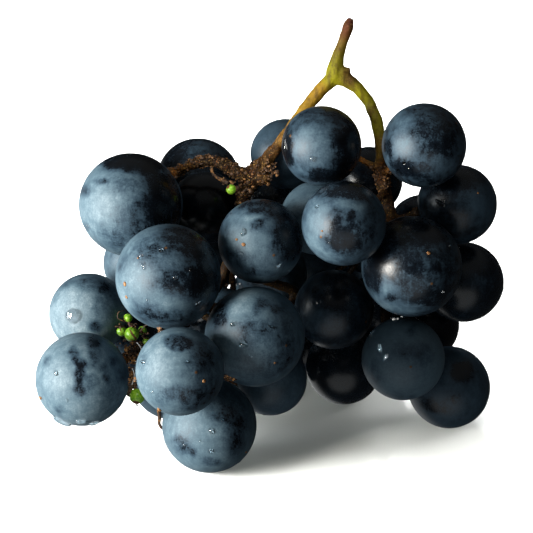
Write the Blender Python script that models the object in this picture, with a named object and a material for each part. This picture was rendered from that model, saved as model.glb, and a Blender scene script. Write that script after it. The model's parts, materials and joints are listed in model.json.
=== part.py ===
"""A bunch of dark blue grapes, cut from the vine with its forked stalk, resting on a table.

Every berry is a solid of its own. The stalk is one grown piece of wood: a peduncle that forks into two arms, the
rachis that each arm runs into, side branches, and a pedicel to each berry. Small green berries that never
swelled sit on sprigs of their own.

The berries that show best were measured from one side, looking down on the bunch. Their places are written in
that view, in millimetres: across to the right, up the tilted view, and back away from the eye. The rest close
the bunch behind by a rule. settle() then moves them all until none crosses another or the wood.
"""

import math
import random

import bmesh
import bpy
import numpy as np
from mathutils import Matrix, Vector

MM = 0.001
SEED = 7

# The view that the places were measured in
VIEW_TILT = math.radians(22)
VIEW_DISTANCE = 400.0
VIEW_MID_HEIGHT = 42.0

# Clearances and the table
BERRY_GAP = 0.4
WOOD_GAP = 0.35
FLAT_DEPTH = 0.6
LIFT_OFF_TABLE = 1.2

# Berry form
SHOWN_SIDES, SHOWN_RINGS = 16, 8
HIDDEN_SIDES, HIDDEN_RINGS = 12, 6
STALK_DIMPLE = 0.8
STYLE_TIP = 0.2

# Wood: radii of the pedicels and of the corky plate that each berry sits on, and the sides of the tubes
PEDICEL_RADIUS = 0.8
PEDICEL_ROOT_RADIUS = 1.15
PLATE_RADIUS = 1.7
PLATE_THICKNESS = 0.9
NECK_LENGTH = 1.4
PATH_POINTS = 9
BEND_ALLOWANCE = 0.15
STRETCH_BEVEL = 2
PEDICEL_BEVEL = 1
SPRIG_BEVEL = 0

# How finely the ways for the wood are worked out
BALL_STEP = 1.5
DIRECTIONS_TRIED = 120
ROOTS_TRIED = 12
PATH_TURNS = 200
SETTLE_TURNS = 900
SHOWN_GIVE = 0.04
INWARD_PULL = 0.004

# Berries that show: across, up, back, diameter, and whether it stands on the table
SHOWN_BERRIES = [
    (-33.0, 15.0, -3, 25.5, False),  # top left, large
    (-17.0, 21.5, 20, 22.5, False),  # behind the left side branch
    (-24.0, -2.5, -20, 25.0, False),  # left front, large
    (-1.5, 6.0, -14, 20.5, False),  # middle front
    (13.5, 29.5, -9, 19.5, False),  # top, against the left arm
    (19.0, 10.5, -20, 20.0, False),  # middle right front
    (38.5, 29.5, -9, 20.5, False),  # top right
    (46.5, 15.0, 3, 20.0, False),  # right, upper
    (35.5, 0.0, -10, 24.5, False),  # right front, large
    (48.0, -3.5, 10, 20.5, False),  # right, middle
    (-43.5, -11.5, 0, 20.0, False),  # far left
    (-45.0, -27.5, -14, 22.5, False),  # low left
    (-21.0, -25.5, -28, 20.5, False),  # foremost, low left
    (-3.0, -17.0, -18, 24.0, False),  # low middle front, large
    (-14.0, -38.0, -8, 23.0, True),  # foot at the front
    (1.0, -27.5, 6, 18.5, False),  # low middle
    (16.5, -10.5, 4, 20.0, False),  # deep middle
    (19.0, -24.5, 23, 20.0, True),  # foot in the middle
    (33.5, -22.5, -5, 20.5, False),  # low right front
    (44.5, -28.0, 12, 21.0, True),  # foot at the right
    (39.0, -14.5, 21, 18.0, False),  # low right, behind
    (12.5, 12.0, 0, 18.5, False),  # between the two middle ones
    (4.5, 27.5, 9, 18.0, False),  # behind the left arm
    (4.5, 16.0, 20, 18.0, False),  # under the left node, behind
    (25.0, 21.0, 12, 17.5, False),  # behind the right arm
    (38.5, 9.0, 19, 18.5, False),  # right, behind
    (-31.0, 1.0, 12, 19.0, False),  # left, behind
    (-23.5, -28.0, 5, 19.5, False),  # low left, behind
    (-14.0, 14.5, 9, 18.5, False),  # in the shade of the side branch
    (-35.0, -19.0, 17, 20.0, False),  # in the dark at the left
    (26.5, -11.0, 36, 19.5, False),  # in the dark at the right
]

# Berries that close the bunch behind, spread over half an egg whose middle and half sizes are these
HIDDEN_BERRIES = 16
HIDDEN_FEET = (7, 10, 15)
HIDDEN_MIDDLE = (3.0, 20.0, 30.0)
HIDDEN_REACH = (38.0, 24.0, 24.0)
HIDDEN_DIAMETERS = (18.0, 21.5)

# Wood, as across, up, back and radius along each stretch; only the stretches that bear carry pedicels
PEDUNCLE = [
    (20.6, 60.8, -5, 0.9),
    (20.0, 58.8, -5, 1.5),
    (18.9, 55.6, -5, 1.3),
    (17.5, 51.6, -4, 1.6),
    (16.8, 47.8, -3, 2.3),
    (16.6, 45.6, -3, 2.2),
]
LEFT_ARM = [
    (17.2, 47.0, -3, 2.0),
    (13.2, 43.2, -2, 1.8),
    (9.4, 38.6, -1, 1.6),
    (5.8, 33.6, 0, 1.4),
    (2.3, 29.0, 1, 1.5),
    (-1.0, 24.8, 2, 2.0),
    (-3.6, 21.6, 2, 2.5),
]
RIGHT_ARM = [
    (15.8, 46.6, -3, 2.0),
    (19.6, 45.7, -3, 1.9),
    (22.4, 43.7, -3, 1.6),
    (25.1, 40.3, -2, 1.5),
    (26.9, 36.1, -2, 1.6),
    (27.9, 31.0, -1, 1.6),
    (28.2, 26.6, -1, 1.5),
    (28.3, 22.4, -1, 2.2),
]
LEFT_RACHIS = [
    (-3.0, 22.4, 2, 2.5),
    (-5.6, 18.0, 3, 2.2),
    (-6.0, 12.0, 5, 1.8),
    (-8.0, 4.0, 6, 1.6),
    (-11.0, -3.0, 6, 1.5),
    (-15.0, -9.0, 4, 1.4),
    (-20.0, -14.0, 2, 1.4),
    (-26.0, -19.0, -1, 1.3),
    (-31.5, -21.5, -5, 1.4),
]
RIGHT_RACHIS = [
    (28.2, 23.2, -1, 2.1),
    (29.0, 18.3, 0, 1.7),
    (30.3, 13.5, 1, 1.5),
    (31.0, 7.0, 4, 1.4),
    (30.0, -4.0, 6, 1.4),
    (29.0, -12.0, 8, 1.3),
    (30.0, -18.0, 10, 1.4),
]
SIDE_BRANCH = [
    (-3.0, 21.4, 2, 2.2),
    (-7.7, 23.4, 1, 1.7),
    (-10.9, 25.4, 0, 1.5),
    (-15.1, 26.0, 0, 1.4),
    (-18.7, 24.8, 0, 1.3),
]
LEFT_BACK_BRANCH = [
    (-6.5, 10.0, 5, 1.6),
    (-6.0, 7.0, 13, 1.4),
    (-8.0, 4.0, 21, 1.3),
]
RIGHT_BACK_BRANCH = [
    (30.8, 11.0, 2, 1.5),
    (27.0, 7.0, 11, 1.4),
    (23.0, 3.0, 19, 1.3),
]
MIDDLE_BRANCH = [
    (-9.0, 1.5, 6, 1.5),
    (-1.0, -3.0, 7, 1.3),
    (7.0, -6.0, 10, 1.3),
]
FORK_NUB = [
    (16.8, 46.6, -3, 1.5),
    (18.9, 47.8, -4, 1.2),
    (20.5, 48.4, -4, 0.7),
]
NODE_LUMP = [
    (-3.4, 21.8, 2, 1.9),
    (-1.0, 21.6, 1, 1.8),
    (0.7, 21.4, 0, 1.2),
]

# Stretches of wood, and whether pedicels grow on each
STRETCHES = [
    (PEDUNCLE, False),
    (LEFT_ARM, False),
    (RIGHT_ARM, False),
    (LEFT_RACHIS, True),
    (RIGHT_RACHIS, True),
    (SIDE_BRANCH, True),
    (LEFT_BACK_BRANCH, True),
    (RIGHT_BACK_BRANCH, True),
    (MIDDLE_BRANCH, True),
    (FORK_NUB, False),
    (NODE_LUMP, False),
]

# Sprigs of shot berries: a name, the twigs as across, up, back and radius, and the little berries at their ends
# as across, up, back and diameter
SPRIGS = [
    (
        "sprig_left",
        [
            [
                (-32.2, -19.0, -6.6, 0.55),
                (-32.6, -16.8, -6.4, 0.5),
                (-33.4, -14.6, -6.2, 0.45),
                (-33.9, -12.6, -6.0, 0.4),
            ],
            [(-32.6, -16.8, -6.4, 0.45), (-33.9, -16.2, -6.8, 0.4), (-35.5, -15.9, -7.0, 0.4)],
            [(-32.6, -17.2, -6.4, 0.45), (-31.4, -16.4, -6.6, 0.4), (-30.4, -15.7, -6.8, 0.4)],
            [(-32.3, -18.6, -6.6, 0.45), (-30.9, -18.6, -7.0, 0.4), (-29.4, -18.3, -7.2, 0.4)],
            [(-32.4, -17.6, -6.5, 0.5), (-32.8, -17.0, -8.0, 0.5), (-33.0, -16.6, -8.6, 0.5)],
        ],
        [
            (-33.9, -12.6, -6.0, 2.2),
            (-33.0, -16.6, -8.6, 3.6),
            (-35.5, -15.9, -7.0, 2.4),
            (-30.4, -15.7, -6.8, 2.2),
            (-29.4, -18.3, -7.2, 2.0),
        ],
    ),
    (
        "sprig_low",
        [[(-31.6, -24.2, -6.2, 0.55), (-32.4, -28.0, -6.8, 0.45), (-31.7, -31.8, -7.4, 0.6)]],
        [(-31.7, -31.8, -7.4, 3.9)],
    ),
    (
        "sprig_top",
        [[(-8.2, 20.8, -1.0, 0.45), (-8.7, 18.9, -2.0, 0.5)]],
        [(-8.7, 18.9, -2.0, 2.5)],
    ),
]


def from_view(across, up, back):
    """A place measured in the tilted view, as millimetres in the bunch's own frame. What lies further back looks
    smaller, so it spreads out again here."""
    spread = (VIEW_DISTANCE + back) / VIEW_DISTANCE
    rise = up * spread
    return np.array(
        [
            across * spread,
            rise * math.sin(VIEW_TILT) + back * math.cos(VIEW_TILT),
            VIEW_MID_HEIGHT + rise * math.cos(VIEW_TILT) - back * math.sin(VIEW_TILT),
        ]
    )


def hidden_starts():
    """Places for the berries behind, turning by the golden angle from the back of the egg to its rim."""
    golden = math.pi * (3 - math.sqrt(5))
    starts = []
    for k in range(HIDDEN_BERRIES):
        toward_back = 1 - (k + 0.5) / HIDDEN_BERRIES
        out = math.sqrt(1 - toward_back**2)
        way = (out * math.cos(golden * k), toward_back, out * math.sin(golden * k))
        starts.append([m + r * w for m, r, w in zip(HIDDEN_MIDDLE, HIDDEN_REACH, way)])
    return starts


def balls_along(stretch):
    """A stretch of wood as balls, each a centre and a radius."""
    ends = [(from_view(a, u, b), r) for a, u, b, r in stretch]
    balls = []
    for (p, r), (q, s) in zip(ends, ends[1:]):
        steps = max(1, math.ceil(np.linalg.norm(q - p) / BALL_STEP))
        for k in range(steps):
            t = k / steps
            balls.append((*(p + (q - p) * t), r + (s - r) * t))
    balls.append((*ends[-1][0], ends[-1][1]))
    return balls


def wood_balls(bearing_only=False):
    balls = []
    for stretch, bears in STRETCHES:
        if bears or not bearing_only:
            balls += balls_along(stretch)
    balls = np.array(balls)
    return balls[:, :3], balls[:, 3]


def sprig_balls():
    balls = []
    for _, twigs, little_berries in SPRIGS:
        for twig in twigs:
            balls += balls_along(twig)
        for a, u, b, d in little_berries:
            balls.append((*from_view(a, u, b), d / 2))
    balls = np.array(balls)
    return balls[:, :3], balls[:, 3]


def settle(places, radii, on_table, across_share, along_share, pull):
    """Moves the berries apart, and off the wood and the table, by small steps until none crosses another. The
    shares say how far each gives way across the line of sight and along it."""
    wood, wood_radii = [np.concatenate(two) for two in zip(wood_balls(), sprig_balls())]
    away = np.array([0, math.cos(VIEW_TILT), -math.sin(VIEW_TILT)])
    middle = np.array(HIDDEN_MIDDLE)
    floor = np.where(on_table, radii - FLAT_DEPTH, radii + LIFT_OFF_TABLE)
    rows = np.arange(len(places))
    for turn in range(SETTLE_TURNS):
        between = places[:, None] - places[None]
        apart = np.linalg.norm(between, axis=2) + np.eye(len(places))
        short = np.clip(radii[:, None] + radii[None] + BERRY_GAP - apart, 0, None)
        np.fill_diagonal(short, 0)
        push = (between / apart[..., None] * short[..., None]).sum(axis=1) * 0.3
        from_wood = places[:, None] - wood[None]
        clear = np.linalg.norm(from_wood, axis=2)
        crossing = np.clip(radii[:, None] + wood_radii[None] + WOOD_GAP - clear, 0, None)
        worst = crossing.argmax(axis=1)
        push += from_wood[rows, worst] * (crossing[rows, worst] / clear[rows, worst] * 0.5)[:, None]
        if turn < SETTLE_TURNS // 2:
            push += (middle - places) * pull[:, None]
        along = (push @ away)[:, None] * away
        places = places + along * along_share[:, None] + (push - along) * across_share[:, None]
        moves = across_share > 0
        held = np.where(on_table, floor, np.maximum(places[:, 2], floor))
        places[:, 2] = np.where(moves, held, places[:, 2])
    return places


def settled_berries():
    """Centres, radii, which ones show and which ones stand on the table."""
    rule = random.Random(SEED)
    shown_places = np.array([from_view(a, u, b) for a, u, b, _, _ in SHOWN_BERRIES])
    shown_radii = np.array([d / 2 for _, _, _, d, _ in SHOWN_BERRIES])
    shown_feet = np.array([foot for _, _, _, _, foot in SHOWN_BERRIES])
    ones = np.ones(len(shown_radii))
    shown_places = settle(shown_places, shown_radii, shown_feet, ones * SHOWN_GIVE, ones, ones * 0)
    hidden_places = np.array(hidden_starts())
    hidden_radii = np.array([rule.uniform(*HIDDEN_DIAMETERS) / 2 for _ in range(HIDDEN_BERRIES)])
    hidden_feet = np.array([k in HIDDEN_FEET for k in range(HIDDEN_BERRIES)])
    places = np.concatenate([shown_places, hidden_places])
    radii = np.concatenate([shown_radii, hidden_radii])
    on_table = np.concatenate([shown_feet, hidden_feet])
    shown = np.arange(len(radii)) < len(shown_radii)
    give = np.where(shown, 0.0, 1.0)
    return settle(places, radii, on_table, give, give, give * INWARD_PULL), radii, shown, on_table


def spread_directions(count):
    golden = math.pi * (3 - math.sqrt(5))
    k = np.arange(count)
    up = 1 - (2 * k + 1) / count
    out = np.sqrt(1 - up**2)
    return np.stack([out * np.cos(golden * k), out * np.sin(golden * k), up], axis=1)


def clearance(points, places, radii, skip=None):
    """How far each point is from the nearest berry's skin; skip leaves one berry out."""
    gaps = np.linalg.norm(points[..., None, :] - places, axis=-1) - radii
    if skip is not None:
        gaps[..., skip] = np.inf
    return gaps.min(axis=-1)


def pedicel_widths(count):
    """Radii along a pedicel, which thins away from the wood."""
    return np.maximum(np.linspace(PEDICEL_ROOT_RADIUS, 0.6 * PEDICEL_RADIUS, count), PEDICEL_RADIUS)


def pedicel_path(n, places, radii, shown, roots):
    """The way from the wood to berry n: the shortest straight one that clears the other berries and the sprigs
    best, then bent out of the way of all of them."""
    sprigs, sprig_radii = sprig_balls()
    places = np.concatenate([places, sprigs])
    radii = np.concatenate([radii, sprig_radii])
    toward_eye = np.array([0, -math.cos(VIEW_TILT), math.sin(VIEW_TILT)])
    poles = spread_directions(DIRECTIONS_TRIED)
    roots = roots[np.linalg.norm(roots - places[n], axis=1).argsort()[:ROOTS_TRIED]]
    seat = radii[n] - STALK_DIMPLE + WOOD_GAP
    ends = places[n] + poles * seat
    necks = places[n] + poles * (radii[n] + NECK_LENGTH)
    crowding = np.clip(PLATE_RADIUS + WOOD_GAP + 0.3 - clearance(ends, places, radii, n), 0, None)
    crowding += np.clip(PEDICEL_RADIUS + WOOD_GAP + 0.1 - clearance(necks, places, radii, n), 0, None)
    facing = np.clip(poles @ toward_eye - 0.15, 0, None) * (30 if shown[n] else 0)
    t = np.linspace(0, 1, 9)[:, None, None, None]
    lines = roots[None, :, None] * (1 - t) + necks[None, None] * t
    reach = np.linalg.norm(roots[:, None] - necks[None], axis=-1)
    gaps = clearance(lines[2:], places, radii)
    blocked = np.clip(PEDICEL_RADIUS + WOOD_GAP - gaps, 0, None).sum(axis=0)
    cost = reach + 4 * blocked + 40 * crowding[None] + facing[None]
    root, pole = np.unravel_index(cost.argmin(), cost.shape)
    path = roots[root] + (necks[pole] - roots[root]) * np.linspace(0, 1, PATH_POINTS)[:, None]
    need = pedicel_widths(PATH_POINTS)[1:-1, None] + WOOD_GAP + BEND_ALLOWANCE
    for _ in range(PATH_TURNS):
        path[1:-1] += (path[:-2] + path[2:] - 2 * path[1:-1]) * 0.15
        off = path[1:-1, None] - places
        far = np.linalg.norm(off, axis=2)
        short = np.clip(radii + need - far, 0, None)
        path[1:-1] += (off / far[..., None] * short[..., None]).sum(axis=1) * 0.6
    return path, ends[pole], poles[pole]


# Making the shapes
def clear_scene():
    for obj in list(bpy.data.objects):
        bpy.data.objects.remove(obj, do_unlink=True)
    for collection in list(bpy.data.collections):
        bpy.data.collections.remove(collection)


def collection_named(name, hidden=False):
    collection = bpy.data.collections.new(name)
    bpy.context.scene.collection.children.link(collection)
    collection.hide_render = hidden
    return collection


def material_named(name, colour, roughness):
    material = bpy.data.materials.new(name)
    material.use_nodes = True
    shader = material.node_tree.nodes["Principled BSDF"]
    shader.inputs["Base Color"].default_value = (*colour, 1)
    shader.inputs["Roughness"].default_value = roughness
    return material


def tube(name, points, radii, bevel, collection):
    """A closed tube through points in millimetres, as a mesh."""
    curve = bpy.data.curves.new(name, "CURVE")
    curve.dimensions = "3D"
    curve.bevel_depth = MM
    curve.bevel_resolution = bevel
    curve.use_fill_caps = True
    spline = curve.splines.new("POLY")
    spline.points.add(len(points) - 1)
    for point, place, radius in zip(spline.points, points, radii):
        point.co = (*(Vector(place) * MM), 1)
        point.radius = radius
    made = bpy.data.objects.new(name + "_curve", curve)
    collection.objects.link(made)
    bpy.context.view_layer.update()
    mesh = bpy.data.meshes.new_from_object(made.evaluated_get(bpy.context.evaluated_depsgraph_get()))
    bpy.data.objects.remove(made)
    shape = bmesh.new()
    shape.from_mesh(mesh)
    bmesh.ops.remove_doubles(shape, verts=shape.verts, dist=1e-6)
    bmesh.ops.recalc_face_normals(shape, faces=shape.faces)
    shape.to_mesh(mesh)
    shape.free()
    obj = bpy.data.objects.new(name, mesh)
    collection.objects.link(obj)
    return obj


def ball(name, centre, radius, sides, rings, collection):
    shape = bmesh.new()
    bmesh.ops.create_uvsphere(shape, u_segments=sides, v_segments=rings, radius=radius * MM)
    bmesh.ops.translate(shape, verts=shape.verts, vec=Vector(centre) * MM)
    mesh = bpy.data.meshes.new(name)
    shape.to_mesh(mesh)
    shape.free()
    obj = bpy.data.objects.new(name, mesh)
    collection.objects.link(obj)
    return obj


def fill_sealed_pockets(mesh):
    """Leaves the outer skin alone: a pocket shut in between tubes is a loose shell of its own, and goes."""
    shape = bmesh.new()
    shape.from_mesh(mesh)
    left = set(shape.verts)
    shells = []
    while left:
        # A set has no fixed order, but the shells come out the same from any start
        front = [left.pop()]
        shell = list(front)
        while front:
            vertex = front.pop()
            near = {edge.other_vert(vertex) for edge in vertex.link_edges} & left
            left -= near
            front += near
            shell += near
        shells.append(shell)
    shells.sort(key=len)
    for shell in shells[:-1]:
        bmesh.ops.delete(shape, geom=shell, context="VERTS")
    shape.to_mesh(mesh)
    shape.free()


def joined(name, pieces, collection, material):
    """One closed body from the pieces, by one Boolean union."""
    first, others = pieces[0], pieces[1:]
    helpers = collection_named(name + "_pieces", hidden=True)
    for obj in pieces:
        for home in list(obj.users_collection):
            home.objects.unlink(obj)
    collection.objects.link(first)
    first.name = name
    for obj in others:
        obj.hide_render = True
        obj.display_type = "WIRE"
        helpers.objects.link(obj)
    union = first.modifiers.new("union", "BOOLEAN")
    union.operation = "UNION"
    union.operand_type = "COLLECTION"
    union.collection = helpers
    union.solver = "EXACT"
    union.use_self = False
    bpy.context.view_layer.update()
    mesh = bpy.data.meshes.new_from_object(first.evaluated_get(bpy.context.evaluated_depsgraph_get()))
    first.modifiers.clear()
    first.data = mesh
    mesh.name = name
    fill_sealed_pockets(mesh)
    for obj in others:
        bpy.data.objects.remove(obj)
    bpy.data.collections.remove(helpers)
    mesh.materials.clear()
    mesh.materials.append(material)
    mesh.shade_smooth()
    return first


def berry(name, centre, radius, pole, sides, rings, stands, collection, material):
    """A berry with its stalk dimple toward the pole. One that stands on the table is flat where it touches."""
    shape = bmesh.new()
    bmesh.ops.create_uvsphere(shape, u_segments=sides, v_segments=rings, radius=radius)
    for vertex in shape.verts:
        if vertex.co.z > radius * 0.999:
            vertex.co.z -= STALK_DIMPLE
        elif vertex.co.z < -radius * 0.999:
            vertex.co.z -= STYLE_TIP
    turn = Vector(pole).to_track_quat("Z", "Y")
    if stands:
        up = turn.inverted() @ Vector((0, 0, 1))
        cut = bmesh.ops.bisect_plane(
            shape,
            geom=shape.verts[:] + shape.edges[:] + shape.faces[:],
            plane_co=-up * centre[2],
            plane_no=up,
            clear_inner=True,
        )
        rim = [e for e in cut["geom_cut"] if isinstance(e, bmesh.types.BMEdge)]
        bmesh.ops.contextual_create(shape, geom=rim)
    bmesh.ops.scale(shape, vec=(MM, MM, MM), verts=shape.verts)
    bmesh.ops.recalc_face_normals(shape, faces=shape.faces)
    mesh = bpy.data.meshes.new(name)
    shape.to_mesh(mesh)
    shape.free()
    mesh.materials.append(material)
    mesh.shade_smooth()
    obj = bpy.data.objects.new(name, mesh)
    obj.location = Vector(centre) * MM
    obj.rotation_mode = "QUATERNION"
    obj.rotation_quaternion = turn
    collection.objects.link(obj)
    return obj


def pedicel_tube(n, places, radii, shown, roots, collection):
    """The pedicel of berry n and the pole that it meets."""
    path, seat, pole = pedicel_path(n, places, radii, shown, roots)
    points = list(path[::2])
    widths = list(pedicel_widths(PATH_POINTS)[::2])
    points += [seat + pole * PLATE_THICKNESS, seat]
    widths += [PLATE_RADIUS * 0.9, PLATE_RADIUS]
    return tube(f"pedicel_{n}", points, widths, PEDICEL_BEVEL, collection), pole


def stand_at_origin(bunch):
    """Parents the bunch to an empty that brings the middle of its box over the origin."""
    bpy.context.view_layer.update()
    corners = np.array([obj.matrix_world @ v.co for obj in bunch.objects for v in obj.data.vertices])
    middle = (corners.min(axis=0) + corners.max(axis=0)) / 2
    empty = bpy.data.objects.new("bunch_middle", None)
    for obj in bunch.objects:
        obj.parent = empty
    bunch.objects.link(empty)
    empty.location = (-middle[0], -middle[1], 0)


def main():
    clear_scene()
    bunch = collection_named("grape_bunch")
    skin = material_named("berry_skin", (0.012, 0.016, 0.03), 0.3)
    wood = material_named("stalk_wood", (0.30, 0.22, 0.06), 0.6)
    green = material_named("shot_berry", (0.22, 0.42, 0.04), 0.35)
    places, radii, shown, on_table = settled_berries()
    roots, _ = wood_balls(bearing_only=True)
    pieces = []
    for k, (stretch, _) in enumerate(STRETCHES):
        points = [from_view(a, u, b) for a, u, b, _ in stretch]
        pieces.append(tube(f"stretch_{k}", points, [r for *_, r in stretch], STRETCH_BEVEL, bunch))
    for n in range(len(radii)):
        pedicel, pole = pedicel_tube(n, places, radii, shown, roots, bunch)
        pieces.append(pedicel)
        sides, rings = (SHOWN_SIDES, SHOWN_RINGS) if shown[n] or on_table[n] else (HIDDEN_SIDES, HIDDEN_RINGS)
        berry(f"berry_{n + 1:02d}", places[n], radii[n], pole, sides, rings, on_table[n], bunch, skin)
    joined("stem", pieces, bunch, wood)
    for name, twigs, little_berries in SPRIGS:
        pieces = []
        for k, twig in enumerate(twigs):
            points = [from_view(a, u, b) for a, u, b, _ in twig]
            pieces.append(tube(f"twig_{k}", points, [r for *_, r in twig], SPRIG_BEVEL, bunch))
        for k, (a, u, b, d) in enumerate(little_berries):
            pieces.append(ball(f"shot_{k}", from_view(a, u, b), d / 2, 10, 6, bunch))
        joined(name, pieces, bunch, green)
    stand_at_origin(bunch)


main()
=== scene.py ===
"""The bunch of grapes as it looks: fine berries under their waxy bloom, the warty stalk, the shot berries,
water drops and specks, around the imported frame.

Sizes are in metres unless a name says otherwise. What was read off the photographed side is a place in its
picture, in pixels of a square view, and is carried to the berry or twig that lies behind it.
"""

import json
import math
import random

import bmesh
import bpy
import numpy as np
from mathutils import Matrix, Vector, noise

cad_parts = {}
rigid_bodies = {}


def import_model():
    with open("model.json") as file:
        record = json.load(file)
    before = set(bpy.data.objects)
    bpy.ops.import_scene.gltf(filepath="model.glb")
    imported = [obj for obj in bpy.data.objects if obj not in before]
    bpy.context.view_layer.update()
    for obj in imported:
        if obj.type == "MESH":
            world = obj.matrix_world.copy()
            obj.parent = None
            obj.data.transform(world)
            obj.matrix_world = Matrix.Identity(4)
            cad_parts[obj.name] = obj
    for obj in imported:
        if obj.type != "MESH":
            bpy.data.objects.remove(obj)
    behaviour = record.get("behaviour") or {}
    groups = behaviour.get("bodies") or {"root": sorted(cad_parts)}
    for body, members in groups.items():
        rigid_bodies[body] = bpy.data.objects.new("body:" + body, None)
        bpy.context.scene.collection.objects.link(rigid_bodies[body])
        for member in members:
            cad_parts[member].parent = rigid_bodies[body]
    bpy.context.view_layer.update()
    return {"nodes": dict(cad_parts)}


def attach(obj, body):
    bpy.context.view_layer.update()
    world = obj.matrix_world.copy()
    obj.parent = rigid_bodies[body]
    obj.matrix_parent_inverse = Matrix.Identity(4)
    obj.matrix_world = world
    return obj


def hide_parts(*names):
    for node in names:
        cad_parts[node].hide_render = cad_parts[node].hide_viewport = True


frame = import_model()

MM = 0.001
SEED = 11
BODY = "root"

# The photographed view: a camera looking down on the bunch's middle
VIEW_TILT = math.radians(22)
VIEW_DISTANCE = 0.400
VIEW_TARGET = Vector((-2.552, -5.087, 42.0)) * MM
PICTURE_SIDE = 533
PICTURE_MIDDLE = 266.5
PIXEL = 0.245 * MM
SENSOR = 36.0

TO_EYE = Vector((0, -math.cos(VIEW_TILT), math.sin(VIEW_TILT)))
ACROSS = Vector((1, 0, 0))
UPWARD = Vector((0, math.sin(VIEW_TILT), math.cos(VIEW_TILT)))
EYE = VIEW_TARGET + TO_EYE * VIEW_DISTANCE

# Berry surface
FINE_SIDES, FINE_RINGS = 112, 80
PLAIN_SIDES, PLAIN_RINGS = 56, 40
SHOWN_COUNT = 31
SKIN_INSET = 0.984
DIMPLE_DEPTH = 0.8 * MM
DIMPLE_WIDTH = 1.9 * MM
STYLE_HEIGHT = 0.15 * MM
STYLE_WIDTH = 0.5 * MM
LUMP_SHARE = 0.006
SCAR_WIDTH = 0.45 * MM


def from_view(across, up, back):
    """A place given in millimetres of the photographed view: right, up, and away from the eye."""
    spread = (VIEW_DISTANCE / MM + back) / (VIEW_DISTANCE / MM)
    offset = ACROSS * across * spread + UPWARD * up * spread - TO_EYE * back
    return VIEW_TARGET + offset * MM


def pixel_ray(x, y):
    """The direction from the eye through a pixel of the picture."""
    across = (x - PICTURE_MIDDLE) * PIXEL
    up = (PICTURE_MIDDLE - y) * PIXEL
    return (ACROSS * across + UPWARD * up - TO_EYE * VIEW_DISTANCE).normalized()


def pixels_of(points):
    """Where points, as an array of metres, fall in the picture."""
    off = points - np.array(EYE)
    depth = off @ -np.array(TO_EYE)
    scale = VIEW_DISTANCE / PIXEL / depth
    x = PICTURE_MIDDLE + off @ np.array(ACROSS) * scale
    y = PICTURE_MIDDLE - off @ np.array(UPWARD) * scale
    return x, y


def add_camera():
    camera = bpy.data.objects.new("camera", bpy.data.cameras.new("camera"))
    camera.data.sensor_width = SENSOR
    camera.data.lens = SENSOR * VIEW_DISTANCE / (PIXEL * PICTURE_SIDE)
    camera.data.clip_start = 0.01
    camera.location = EYE
    camera.rotation_mode = "QUATERNION"
    camera.rotation_quaternion = (-TO_EYE).to_track_quat("-Z", "Y")
    bpy.context.scene.collection.objects.link(camera)
    bpy.context.scene.camera = camera


# Shader building
class Nodes:
    """The node tree of a material or of the world, with short calls for the nodes that they share."""

    def __init__(self, owner):
        owner.use_nodes = True
        self.owner = owner
        self.tree = owner.node_tree
        self.shader = self.tree.nodes.get("Principled BSDF")

    def add(self, kind, **settings):
        node = self.tree.nodes.new(kind)
        for name, value in settings.items():
            setattr(node, name, value)
        return node

    def link(self, source, target):
        self.tree.links.new(source, target)

    def put(self, socket, value):
        """A link if value is a socket, or else a setting."""
        if isinstance(value, bpy.types.NodeSocket):
            self.link(value, socket)
        else:
            socket.default_value = value

    def place(self):
        return self.add("ShaderNodeNewGeometry").outputs["Position"]

    def attribute(self, name, output="Fac"):
        return self.add("ShaderNodeAttribute", attribute_name=name).outputs[output]

    def noise(self, scale, detail=3.0, roughness=0.5, place=None, distortion=0.0):
        node = self.add("ShaderNodeTexNoise")
        node.inputs["Scale"].default_value = scale
        node.inputs["Detail"].default_value = detail
        node.inputs["Roughness"].default_value = roughness
        node.inputs["Distortion"].default_value = distortion
        self.link(place or self.place(), node.inputs["Vector"])
        return node.outputs["Fac"]

    def stretched(self, along, turn=(0.0, 0.0, 0.0)):
        node = self.add("ShaderNodeMapping")
        node.inputs["Scale"].default_value = along
        node.inputs["Rotation"].default_value = turn
        self.link(self.place(), node.inputs["Vector"])
        return node.outputs["Vector"]

    def math(self, operation, a, b):
        node = self.add("ShaderNodeMath", operation=operation)
        self.put(node.inputs[0], a)
        self.put(node.inputs[1], b)
        return node.outputs[0]

    def spread(self, value, low, high, out_low=0.0, out_high=1.0, smooth=True):
        node = self.add("ShaderNodeMapRange")
        node.interpolation_type = "SMOOTHSTEP" if smooth else "LINEAR"
        self.put(node.inputs["Value"], value)
        node.inputs["From Min"].default_value = low
        node.inputs["From Max"].default_value = high
        node.inputs["To Min"].default_value = out_low
        node.inputs["To Max"].default_value = out_high
        return node.outputs["Result"]

    def mix(self, amount, a, b):
        node = self.add("ShaderNodeMix", data_type="RGBA")
        self.put(node.inputs["Factor"], amount)
        self.put(node.inputs["A"], a)
        self.put(node.inputs["B"], b)
        return node.outputs["Result"]

    def ramp(self, value, *stops):
        """A colour ramp through stops of a place and a colour."""
        node = self.add("ShaderNodeValToRGB")
        points = node.color_ramp.elements
        while len(points) < len(stops):
            points.new(0.5)
        for point, (place, shade) in zip(points, stops):
            point.position = place
            point.color = shade
        self.link(value, node.inputs["Fac"])
        return node.outputs["Color"]

    def bump(self, height, distance, strength=1.0, over=None):
        node = self.add("ShaderNodeBump")
        node.inputs["Strength"].default_value = strength
        node.inputs["Distance"].default_value = distance
        self.link(height, node.inputs["Height"])
        if over:
            self.link(over, node.inputs["Normal"])
        return node.outputs["Normal"]


def new_material(name):
    return Nodes(bpy.data.materials.new(name))


def colour(red, green, blue):
    return (red, green, blue, 1.0)


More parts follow.
